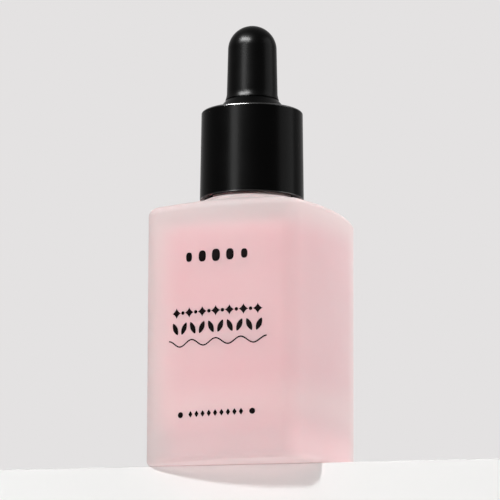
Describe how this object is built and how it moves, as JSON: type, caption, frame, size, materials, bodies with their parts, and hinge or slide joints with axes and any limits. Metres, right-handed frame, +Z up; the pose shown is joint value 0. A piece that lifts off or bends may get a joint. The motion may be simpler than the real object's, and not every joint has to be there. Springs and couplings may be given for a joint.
{
  "type": "dropper bottle",
  "caption": "Square bottle with bowed sides and a thick frosted wall, closed by a round screw collar with a rubber bulb and a glass pipette that reaches to the floor.",
  "frame": {"origin": "centre of the base, on the surface that the bottle stands on", "axes": "+Z up along the bottle's axis, -Y towards the printed front, +X to the right of someone who looks at the front"},
  "size_m": [0.042, 0.042, 0.1044],
  "materials": {
    "frosted_glass": "acid-etched soda-lime glass, milky and matt, with pink liquid showing through",
    "wiper_polyethylene": "natural low-density polyethylene, moulded, slightly waxy",
    "gasket_foam": "expanded polyethylene foam, die cut",
    "clear_glass": "clear borosilicate tube, fire-polished ends",
    "bulb_rubber": "moulded nitrile rubber, satin black",
    "closure_polypropylene": "moulded black polypropylene",
    "collar_satin_black": "moulded black shell, fine satin surface",
    "screen_print_ink": "fired black screen-print enamel on the front of the bottle",
    "pink_liquid": "pale pink clear liquid"
  },
  "bodies": {
    "bottle": {"bottle": "frosted_glass", "neck_wiper": "wiper_polyethylene"},
    "seal": {"gasket": "gasket_foam"},
    "dropper": {"bulb": "bulb_rubber", "pipette": "clear_glass"},
    "closure": {"inner_closure": "closure_polypropylene", "collar_shell": "collar_satin_black"}
  },
  "joints": [
    {"name": "dropper_lift", "type": "slide", "parent": "bottle", "child": "seal", "axis": [0, 0, 1], "range_m": [0, 0.08]},
    {"name": "closure_rise", "type": "slide", "parent": "seal", "child": "dropper", "axis": [0, 0, 1], "range_m": [0, 0.00476]},
    {"name": "closure_turn", "type": "hinge", "parent": "dropper", "child": "closure", "pos_m": [0, 0, 0.07], "axis": [0, 0, 1], "range_deg": [0, 540]}
  ],
  "couplings": [
    {"joint": "closure_rise", "follows": "closure_turn", "m_per_rad": 0.00050531}
  ]
}
